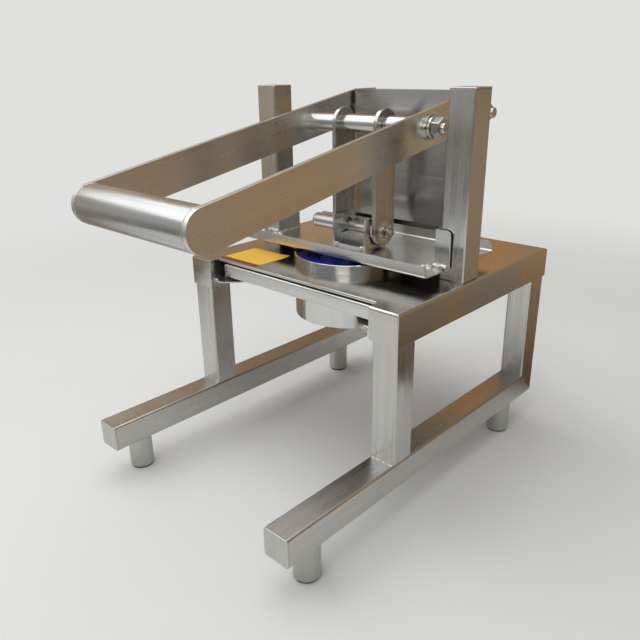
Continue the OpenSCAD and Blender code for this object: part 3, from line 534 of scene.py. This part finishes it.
# %% [markdown]
# A CAD solid comes as loose triangles with perfectly sharp edges. Real sheet and bar edges are broken:
# filed, tumbled or worn, they catch the light as thin bright lines, which the photograph shows on
# every piece. So a piece whose shape is right is copied, its triangles are merged into whole
# faces, and its edges are bevelled by a few tenths of a millimetre.

# %% Copies with broken edges
# Points closer than this are one, and faces that meet at less than this angle are one flat face
SAME_POINT, SAME_PLANE = 0.002 * MM, math.radians(0.4)
# The width in mm of an edge that was only filed, and the least angle in degrees of a sharp edge
FILED, SHARP = 0.3, 35


def clean_copy(node, name):
    """A copy of a CAD node, its triangles merged into faces."""
    piece = bpy.data.objects.new(name, frame["nodes"][node].data.copy())
    bpy.context.scene.collection.objects.link(piece)
    only(piece)
    bpy.ops.mesh.customdata_custom_splitnormals_clear()
    bpy.ops.object.mode_set(mode="EDIT")
    bpy.ops.mesh.select_all(action="SELECT")
    bpy.ops.mesh.remove_doubles(threshold=SAME_POINT)
    bpy.ops.mesh.dissolve_limited(angle_limit=SAME_PLANE)
    bpy.ops.object.mode_set(mode="OBJECT")
    return piece


def break_edges(piece, edge=FILED, angle=SHARP, steps=2):
    """Bevels the edges that are sharper than an angle in degrees; edge is in mm."""
    apply(piece, "BEVEL", width=edge * MM, segments=steps, limit_method="ANGLE",
          angle_limit=math.radians(angle), use_clamp_overlap=False, loop_slide=False, miter_outer="MITER_ARC")


def finished(node, material, edge=FILED, angle=SHARP, steps=2):
    """A CAD node with broken edges and its finish, in place of that node."""
    piece = clean_copy(node, node + "_finished")
    break_edges(piece, edge, angle, steps)
    smooth(piece)
    return fit(piece, material, node)


def report(title, pieces):
    """Prints how many triangles some pieces have."""
    count = sum(len(face.vertices) - 2 for piece in pieces for face in piece.data.polygons)
    print(title + ":", len(pieces), "pieces,", count, "triangles")


print("a filed edge is", FILED, "mm wide")

# %% [markdown]
# The two side frames are square tube, cut, mitred at the rear and welded. The tube's own corners are
# round already, so only the cut ends need a broken edge. The plates that close rails and posts are
# ground flush and keep a slightly softer edge. Two small tests find edges by their direction and
# their place.

# %% Side frames, posts and caps
PARALLEL = 0.99
# A standing tube's foot has a chamfer this wide, on all edges this close to the tube's outside
FOOT_CHAMFER, OUTSIDE = 1 * MM, 1.9 * MM


def runs(edge, axis, least=1.0):
    """Whether an edge runs along an axis (0, 1 or 2) for at least some mm."""
    way = edge.verts[0].co - edge.verts[1].co
    return abs(way[axis]) > PARALLEL * way.length and way.length > least * MM


def near(value, wanted, gap=0.05):
    """Whether a value is within gap mm of the wanted one."""
    return abs(value - wanted) < gap * MM


def standing_tube(node):
    """An upright tube whose foot is chamfered for the weld, which leaves a thin groove there."""
    low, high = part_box(node)
    piece = clean_copy(node, node + "_finished")

    def outside(place):
        """Whether a place in the foot's outline is on the tube's outside, not on its bore."""
        return min(place.x - low.x, high.x - place.x, place.y - low.y, high.y - place.y) < OUTSIDE

    count = pick(piece, "edges", lambda e: not runs(e, 2) and all(
        near(v.co.z, low.z) and outside(v.co) for v in e.verts))
    bpy.ops.mesh.bevel(offset=FOOT_CHAMFER, segments=2)
    bpy.ops.object.mode_set(mode="OBJECT")
    print(node, "foot edges", count)
    break_edges(piece)
    smooth(piece)
    return fit(piece, leg_steel, node)


frames = [finished(node, rail_steel) for node in ("base_rail_left", "base_rail_right")]
frames += [finished(node, leg_steel) for node in ("rear_leg_left", "rear_leg_right")]
frames += [standing_tube(node) for node in ("front_leg_left", "front_leg_right", "guide_post_left",
                                            "guide_post_right")]
frames += [finished(node, cap_steel, edge=0.7, steps=3) for node in ("rail_end_caps", "post_caps")]
report("side frames", frames)

# %% [markdown]
# A foot is a round stainless plug, turned and drawn up against the rail. Its lower rim is rounded, a
# shallow groove marks where it enters the rail, and a thin matt black disc shows under it. Foot
# and disc are modelled once, from cylinders, and copied to the other three places, each copy with its
# own mesh.

# %% Feet
PAD_H, PAD_IN, RIM = 1.6 * MM, 1.4 * MM, 1.6 * MM
PAD_HIDDEN = 0.4 * MM
GROOVE_IN, GROOVE_DEPTH = 0.8 * MM, 0.6 * MM
ROUND = 72
FEET = ("foot_front_left", "foot_front_right", "foot_rear_left", "foot_rear_right")

low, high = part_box(FEET[0])
middle = (low + high) / 2
radius = (high.x - low.x) / 2
bpy.ops.object.select_all(action="DESELECT")
bpy.ops.mesh.primitive_cylinder_add(vertices=ROUND, radius=radius, depth=high.z - low.z - PAD_H,
                                    location=(middle.x, middle.y, middle.z + PAD_H / 2))
foot = bpy.context.object
only(foot)
bpy.ops.object.transform_apply(location=True, rotation=True, scale=True)
pick(foot, "edges", lambda e: all(near(v.co.z, low.z + PAD_H, 0.1) for v in e.verts))
bpy.ops.mesh.bevel(offset=RIM, segments=4)
pick(foot, "faces", lambda f: f.normal.z > PARALLEL)
bpy.ops.mesh.inset(thickness=GROOVE_IN)
bpy.ops.mesh.extrude_region_move(TRANSFORM_OT_translate={"value": (0, 0, -GROOVE_DEPTH)})
smooth(foot)

bpy.ops.object.select_all(action="DESELECT")
bpy.ops.mesh.primitive_cylinder_add(vertices=ROUND, radius=radius - PAD_IN, depth=PAD_H + PAD_HIDDEN,
                                    location=(middle.x, middle.y, low.z + (PAD_H + PAD_HIDDEN) / 2))
pad = bpy.context.object
break_edges(pad)
smooth(pad)

feet = []
for node in FEET:
    place_low, place_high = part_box(node)
    move = Matrix.Translation((place_low + place_high) / 2 - middle)
    feet.append(fit(moved_copy(foot, node + "_turned", move), foot_steel, node))
    feet.append(fit(moved_copy(pad, node + "_pad", move), dark_disc_finish, body=BODY_OF[node], slot=SLOT_OF[node]))
bpy.data.objects.remove(foot)
bpy.data.objects.remove(pad)
report("feet", feet)

# %% [markdown]
# The table is one folded sheet, and its edge along the cut-out is folded down into a small lip, which
# makes it stiff and safe. In the CAD model that fold is a sharp corner. A real bend in 1.5 mm sheet is
# round outside, so the long upper edge of the lip is bevelled in several steps, and so are the free
# lower corners of the skirt on both sides of the cut-out, with a larger radius.

# %% Table
LIP_BEND, SKIRT_CORNER = 1.4 * MM, 4 * MM
# The skirt's free corners are closer than this to the front, and to the middle of the table
SKIRT_FRONT, SKIRT_INNER = 3 * MM, 122 * MM

table = clean_copy("table_top", "table_sheet")
table_low, table_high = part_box("table_top")
edge_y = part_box("tray_plate")[0].y
bends = pick(table, "edges", lambda e: runs(e, 0, 50) and all(
    near(v.co.y, edge_y) and near(v.co.z, table_high.z) for v in e.verts))
bpy.ops.mesh.bevel(offset=LIP_BEND, segments=5)
corners = pick(table, "edges", lambda e: runs(e, 1) and e.verts[0].co.y < table_low.y + SKIRT_FRONT
               and abs(e.verts[0].co.x) < SKIRT_INNER and all(near(v.co.z, table_low.z) for v in e.verts))
bpy.ops.mesh.bevel(offset=SKIRT_CORNER, segments=6)
bpy.ops.object.mode_set(mode="OBJECT")
print("table: bend edges", bends, "skirt corners", corners)
break_edges(table, edge=0.35)
smooth(table)
fit(table, table_steel, "table_top")
report("table", [table])

# %% [markdown]
# The feed ring is a strip rolled round and welded, which stands through the table. The chute under
# the blades is the same kind of ring, longer. Both keep their CAD shape, and only their rims are
# broken: the angle is set high, so that the facets of the round wall are left alone.

# %% Feed ring and chute
ring = finished("feed_ring", ring_steel, angle=50)
chute = finished("chute_tube", chute_steel, angle=50)
report("ring and chute", [ring, chute])

# %% [markdown]
# The sticker is a sheet of film, thin enough to follow the table, with one corner that has begun to
# lift. A grid is laid at its size, the corner's points are raised along a smooth curve, and the film
# gets its thickness from a Solidify modifier.

# %% Blank sticker
FILM, LIFT, CURL = 0.12 * MM, 1.2 * MM, 14 * MM

bpy.ops.object.select_all(action="DESELECT")
bpy.ops.mesh.primitive_grid_add(x_subdivisions=24, y_subdivisions=20, size=1)
sticker = bpy.context.object
sticker.name = "blank_film_sticker"
middle = (sticker_low + sticker_high) / 2
for point in sticker.data.vertices:
    x = middle.x + point.co.x * (sticker_high.x - sticker_low.x)
    y = middle.y + point.co.y * (sticker_high.y - sticker_low.y)
    reach = math.hypot(x - sticker_high.x, y - sticker_high.y)
    rise = LIFT * max(0.0, 1 - reach / CURL) ** 2
    point.co = (x, y, sticker_low.z + FILM + rise)
apply(sticker, "SOLIDIFY", thickness=FILM, offset=0)
smooth(sticker)
fit(sticker, sticker_film, "blank_sticker")
report("sticker", [sticker])

# %% [markdown]
# The tray runs on two folded rails. A folded sheet has a round bend, not a sharp corner, and the front
# corner of each rail's foot is cut round. Both are bevels with many steps: wide ones on the long
# edges outside and inside the bend, and on the upright edges of the foot's cut.

# %% Tray rails
SHEET = 1.5 * MM
BEND_OUTSIDE, BEND_INSIDE, FOOT_CORNER = 5.5 * MM, 4 * MM, 9 * MM
# The foot's corner is closer than this to the rail's front, and further than that from its web
FOOT_FRONT, FOOT_WEB = 25 * MM, 10 * MM


def folded_rail(node):
    """A tray rail with a round bend and a rounded front corner."""
    low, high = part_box(node)
    outer = max(abs(low.x), abs(high.x))
    piece = clean_copy(node, node + "_folded")
    bend = pick(piece, "edges", lambda e: runs(e, 1, 50) and all(
        near(abs(v.co.x), outer, 0.1) and near(v.co.z, low.z, 0.1) for v in e.verts))
    bpy.ops.mesh.bevel(offset=BEND_OUTSIDE, segments=8)
    inside = pick(piece, "edges", lambda e: runs(e, 1, 50) and all(
        near(abs(v.co.x), outer - SHEET, 0.1) and near(v.co.z, low.z + SHEET, 0.1) for v in e.verts))
    bpy.ops.mesh.bevel(offset=BEND_INSIDE, segments=8)
    corners = pick(piece, "edges", lambda e: runs(e, 2) and all(
        v.co.z < low.z + SHEET + 0.1 * MM and v.co.y < low.y + FOOT_FRONT
        and abs(v.co.x) < outer - FOOT_WEB for v in e.verts))
    bpy.ops.mesh.bevel(offset=FOOT_CORNER, segments=8)
    bpy.ops.object.mode_set(mode="OBJECT")
    print(node, "bend", bend, "inside", inside, "corners", corners)
    break_edges(piece, edge=0.25)
    smooth(piece)
    return fit(piece, tray_steel, node)


rails = [folded_rail(node) for node in ("tray_rail_left", "tray_rail_right")]
report("tray rails", rails)

# %% [markdown]
# The hinge column is one bright sheet folded into a channel, with a low plate behind. The blade tray
# is a folded pan with a welded frame of square bars below it, and the blades stand in slots of the
# frame. A blade is too thin for more than a narrow bevel in one step.

# %% Hinge column and blade tray
column = finished("hinge_column", column_steel, edge=0.4)
tray = [finished("tray_plate", tray_steel), finished("blade_frame", tray_steel),
        finished("slicing_blades", blade_steel, edge=0.08, steps=1)]
report("column and tray", [column, *tray])

# %% [markdown]
# The press carriage is a folded pan, two shoes that slide on the posts and a bracket with two ears. The
# pusher block under the pan is turned from blue plastic, and held by countersunk screws.

# %% Press carriage
carriage = [finished(node, pan_steel, edge=0.45) for node in (
    "press_pan", "guide_shoe_left", "guide_shoe_right", "clevis_bracket")]
carriage += [finished("pusher_block", pusher_blue, edge=0.4, angle=60)]
carriage += [finished("pusher_screws", fastener_steel, edge=0.2)]
report("carriage", carriage)

# %% [markdown]
# The lever is two flat bars with round ends, joined by the grip. The bars are ground along their
# length, so their grain has the lever's slope, and stay satin. Round the cross rod a paler ring is
# painted on them, a painted highlight. The links are short bars of the same kind, with a painted
# highlight round the link pin.

# %% Lever and links
LEVER_SLOPE = math.radians(10.44)
# Radii in metres of the paler spots painted round the cross rod and the link pin, painted highlights
ROD_HIGHLIGHT, PIN_HIGHLIGHT = 23 * MM, 15 * MM

rod_low, rod_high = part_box("cross_rod")
rod_mid = (rod_low + rod_high) / 2
arm_steel = brushed_steel("ground_flat_bar_arm", "y", tones=("#C8C6C2", "#DEDCD8"), slope=LEVER_SLOPE,
                          line=0.8, run=260, depth=0.03, stretch=0.7, painted_highlight=(rod_mid.y, rod_mid.z, ROD_HIGHLIGHT))
lever = [finished(node, arm_steel, edge=0.4, steps=3) for node in ("lever_arm_left", "lever_arm_right")]
lever += [finished("handle_pipe", polished_steel, angle=50)]
pin_low, pin_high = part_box("link_pin")
pin_mid = (pin_low + pin_high) / 2
link_steel = brushed_steel("ground_flat_bar_links", "z", tones=("#ACA9A4", "#C6C3BE"), rough=0.24, run=60,
                           depth=0.03, painted_highlight=(pin_mid.y, pin_mid.z, PIN_HIGHLIGHT))
links = [finished(node, link_steel, edge=0.6, steps=3) for node in ("link_left", "link_right")]
report("lever and links", lever + links)

# %% [markdown]
# Both rods end in a thread, of which a few turns stand out of the nut. A screw thread this small is
# best made as rings: the end face of the bar is extruded again and again, each time a little
# outwards and either narrower or wider, and the last step is a chamfer.

# %% Rods with threaded ends
THREAD_PITCH, THREAD_LENGTH = 1.75 * MM, 9 * MM
ROOT_SIZE, END_SIZE = 0.9, 0.95


def threaded_bar(node):
    """A round bar along x with thread rings on both ends."""
    low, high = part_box(node)
    radius = (high.z - low.z) / 2
    body = (high.x - low.x) / 2 - THREAD_LENGTH
    bpy.ops.object.select_all(action="DESELECT")
    bpy.ops.mesh.primitive_cylinder_add(vertices=48, radius=radius, depth=2 * body,
                                        rotation=(0, math.pi / 2, 0))
    piece = bpy.context.object
    piece.name = node + "_threaded"
    only(piece)
    bpy.ops.object.transform_apply(location=True, rotation=True, scale=True)
    sizes = [ROOT_SIZE, 1 / ROOT_SIZE] * int(THREAD_LENGTH / THREAD_PITCH)
    sizes[-1] = END_SIZE
    step = THREAD_LENGTH / len(sizes)
    for side in (-1, 1):
        for size in sizes:
            # Of the faces that look this way, only the end face has more than four corners
            pick(piece, "faces", lambda f: f.normal.x * side > PARALLEL and len(f.verts) > 4)
            bpy.ops.mesh.extrude_region_move(TRANSFORM_OT_translate={"value": (side * step, 0, 0)})
            bpy.ops.transform.resize(value=(1, size, size))
    only(piece)
    piece.location = (low + high) / 2
    smooth(piece, 25)
    return fit(piece, polished_steel, node)


rods = [threaded_bar("cross_rod"), threaded_bar("fulcrum_rod")]
report("rods", rods)

# %% [markdown]
# Spacers, washers, spring washers, nuts, the link pin and its knob keep their CAD shapes with broken
# edges. Small fasteners are cut from bright bar, so their edges get slightly more.

# %% Spacers, washers, nuts and link pin
small = [finished(node, spacer_steel, edge=0.9) for node in (
    "rod_spacer_left", "rod_spacer_middle", "rod_spacer_right")]
small += [finished(node, polished_steel, edge=0.4) for node in ("link_pin", "pin_knob")]
small += [finished(node, fastener_steel, edge=0.5) for node in (
    "rod_washers", "rod_spring_washers", "rod_nuts", "fulcrum_washers", "fulcrum_nuts", "pin_washers",
    "pin_nut")]
report("fasteners", small)

# %% [markdown]
# Welds hold the sheets and tubes together, and most were left as laid, only brushed. A hand-laid bead
# is a row of overlapping ripples, each a frozen drop. One bead is modelled: the end face of a thin
# cylinder is extruded again and again, a little wider and a little narrower in turn. Its copies are
# stretched, turned and laid into the corners, each with its own mesh. Tacks are single flat drops.

# %% Weld beads
BEAD_LENGTH, BEAD_START, BEAD_R, RIPPLES = 30 * MM, 1 * MM, 0.6 * MM, 14
# How much each step widens or narrows a bead: the first, the last, and those between
SWELL_FIRST, SWELL_LAST, RIPPLE = 1.6, 0.55, 1.16

bpy.ops.object.select_all(action="DESELECT")
bpy.ops.mesh.primitive_cylinder_add(vertices=12, radius=BEAD_R, depth=BEAD_START,
                                    rotation=(0, math.pi / 2, 0))
bead = bpy.context.object
bead.name = "bead_master"
only(bead)
bpy.ops.object.transform_apply(location=True, rotation=True, scale=True)
sizes = [SWELL_FIRST, *[1 / RIPPLE, RIPPLE] * (RIPPLES - 1), SWELL_LAST]
for size in sizes:
    pick(bead, "faces", lambda f: f.normal.x > PARALLEL and len(f.verts) > 4)
    bpy.ops.mesh.extrude_region_move(TRANSFORM_OT_translate={"value": (BEAD_LENGTH / len(sizes), 0, 0)})
    bpy.ops.transform.resize(value=(1, size, size))
bpy.ops.object.mode_set(mode="OBJECT")
smooth(bead, 60)
welds = []


def lay_bead(name, start, end, size, body, slot):
    """A copy of the bead between two points, size times as thick."""
    start, end = Vector(start), Vector(end)
    way = end - start
    turn = way.to_track_quat("X", "Z").to_matrix().to_4x4()
    stretch = Matrix.Diagonal((way.length / BEAD_LENGTH, size, size, 1))
    piece = moved_copy(bead, name, Matrix.Translation(start) @ turn @ stretch)
    welds.append(fit(piece, weld_steel, body=body, slot=slot))


def tack(name, at, radius, flat):
    """A single drop of weld on the pan, flattened to a share of its height."""
    bpy.ops.object.select_all(action="DESELECT")
    bpy.ops.mesh.primitive_uv_sphere_add(segments=20, ring_count=12, radius=radius, location=at)
    piece = bpy.context.object
    piece.name = name
    only(piece)
    bpy.ops.transform.resize(value=(1, 1, flat))
    smooth(piece, 180)
    welds.append(fit(piece, weld_steel, body="press_carriage", slot="sheet_steel"))


# A leg's beads end this far from its corners
LEG_MARGIN = 1.5 * MM
# The column's beads: their length, and where they start from its front and from its rear
COLUMN_BEAD, COLUMN_FRONT, COLUMN_REAR = 16 * MM, 8 * MM, 22 * MM
# A shoe's beads end this far from its outer side, and thin beads are sunk in their corner by this
SHOE_MARGIN, SUNK = 2 * MM, 0.2 * MM
# Flat lumps on the pan in front of a shoe, where the weld ran out: x, y and radius in mm
SHOE_LUMPS = ((113, 44, 4.5), (108, 40, 3.5), (117, 38, 4))
# The bead in a tray rail's corner: its ends, and how far behind and above the rail's box it starts
RAIL_BEAD, RAIL_BEHIND, RAIL_ABOVE = (111.5 * MM, 121 * MM), 0.6 * MM, 2.4 * MM
# The tacks in the bracket's front corners
TACK_X, TACK_BEHIND, TACK_ABOVE, TACK_R = 18.5 * MM, 1 * MM, 2.6 * MM, 3.2 * MM

for side, hand in ((-1, "left"), (1, "right")):
    low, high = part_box("front_leg_" + hand)
    for y, face in ((low.y, "front"), (high.y, "rear")):
        lay_bead(f"{face}_weld_leg_{hand}", (low.x + LEG_MARGIN, y, low.z), (high.x - LEG_MARGIN, y, low.z),
                 size=0.9, body="frame", slot="tube_steel")
    low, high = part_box("hinge_column")
    x, z = (high.x if side > 0 else low.x) + side * SUNK, low.z + SUNK
    for number, y in enumerate((low.y + COLUMN_FRONT, high.y - COLUMN_REAR)):
        lay_bead(f"column_weld_{hand}_{number}", (x, y, z), (x, y + COLUMN_BEAD, z), size=1.4,
                 body="frame", slot="sheet_steel")
    # A thick bead in front of the shoe, where its front tab stands on the pan, and thinner ones
    # behind it and along its inner side
    low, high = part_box("guide_shoe_" + hand)
    inner, outer = (low.x, high.x) if side > 0 else (high.x, low.x)
    x = outer - side * SHOE_MARGIN
    for face, y, z, size in (("front", low.y - 1 * MM, low.z + 1 * MM, 3.4),
                             ("rear", high.y + 0.4 * MM, low.z + SUNK, 1.4)):
        lay_bead(f"shoe_weld_{face}_{hand}", (inner, y, z), (x, y, z), size=size, body="press_carriage",
                 slot="sheet_steel")
    x, z = inner - side * SUNK, low.z + SUNK
    lay_bead(f"shoe_weld_inner_{hand}", (x, low.y, z), (x, high.y, z), size=1.2, body="press_carriage",
             slot="sheet_steel")
    for number, (x, y, radius) in enumerate(SHOE_LUMPS):
        tack(f"shoe_lump_{hand}_{number}", (side * x * MM, y * MM, low.z), radius * MM, flat=0.4)
    low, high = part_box("tray_rail_" + hand)
    y, z = low.y + RAIL_BEHIND, low.z + RAIL_ABOVE
    lay_bead(f"rail_weld_{hand}", (side * RAIL_BEAD[0], y, z), (side * RAIL_BEAD[1], y, z), size=1.7,
             body="frame", slot="sheet_steel")
    low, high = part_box("clevis_bracket")
    tack(f"bracket_tack_{hand}", (side * TACK_X, low.y + TACK_BEHIND, low.z + TACK_ABOVE), TACK_R, flat=0.5)

bpy.data.objects.remove(bead)
report("welds", welds)

# %% [markdown]
# The grip's pipe is welded to both arms all round and the seam is polished, which leaves a narrow round
# fillet at each end, and the feed ring's strip is closed by an upright seam in front, which shows as a
# bright line. The fillet is a thin torus, modelled once and copied to the other end, and the seam a
# slim rod with its ends drawn in.

# %% Round fillets and the ring's seam
FILLET_R, FILLET_IN, FILLET_END = 0.35 * MM, 0.1 * MM, 0.5 * MM
SEAM_R, SEAM_IN, SEAM_LONGER, SEAM_LOWER = 0.9 * MM, 0.3 * MM, 1 * MM, 1 * MM

pipe_low, pipe_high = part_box("handle_pipe")
pipe_mid = (pipe_low + pipe_high) / 2
bpy.ops.object.select_all(action="DESELECT")
bpy.ops.mesh.primitive_torus_add(
    major_segments=72, minor_segments=10, major_radius=(pipe_high.z - pipe_low.z) / 2 - FILLET_IN,
    minor_radius=FILLET_R, rotation=(0, math.pi / 2, 0),
    location=(pipe_low.x + FILLET_END, pipe_mid.y, pipe_mid.z))
left_fillet = bpy.context.object
left_fillet.name = "grip_weld_left"
smooth(left_fillet, 180)
to_right = Matrix.Translation((pipe_high.x - pipe_low.x - 2 * FILLET_END, 0, 0))
fillets = [fit(piece, weld_steel, body="lever", slot="polished_steel")
           for piece in (left_fillet, moved_copy(left_fillet, "grip_weld_right", to_right))]

ring_low, ring_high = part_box("feed_ring")
bpy.ops.object.select_all(action="DESELECT")
bpy.ops.mesh.primitive_cylinder_add(
    vertices=16, radius=SEAM_R, depth=ring_high.z - table_high.z + SEAM_LONGER,
    location=(0, ring_low.y + SEAM_IN, (ring_high.z + table_high.z) / 2 - SEAM_LOWER))
seam = bpy.context.object
seam.name = "ring_seam"
break_edges(seam, edge=0.7, steps=3)
smooth(seam, 60)
fillets.append(fit(seam, weld_steel, body="frame", slot="polished_steel"))
report("fillets and seam", fillets)
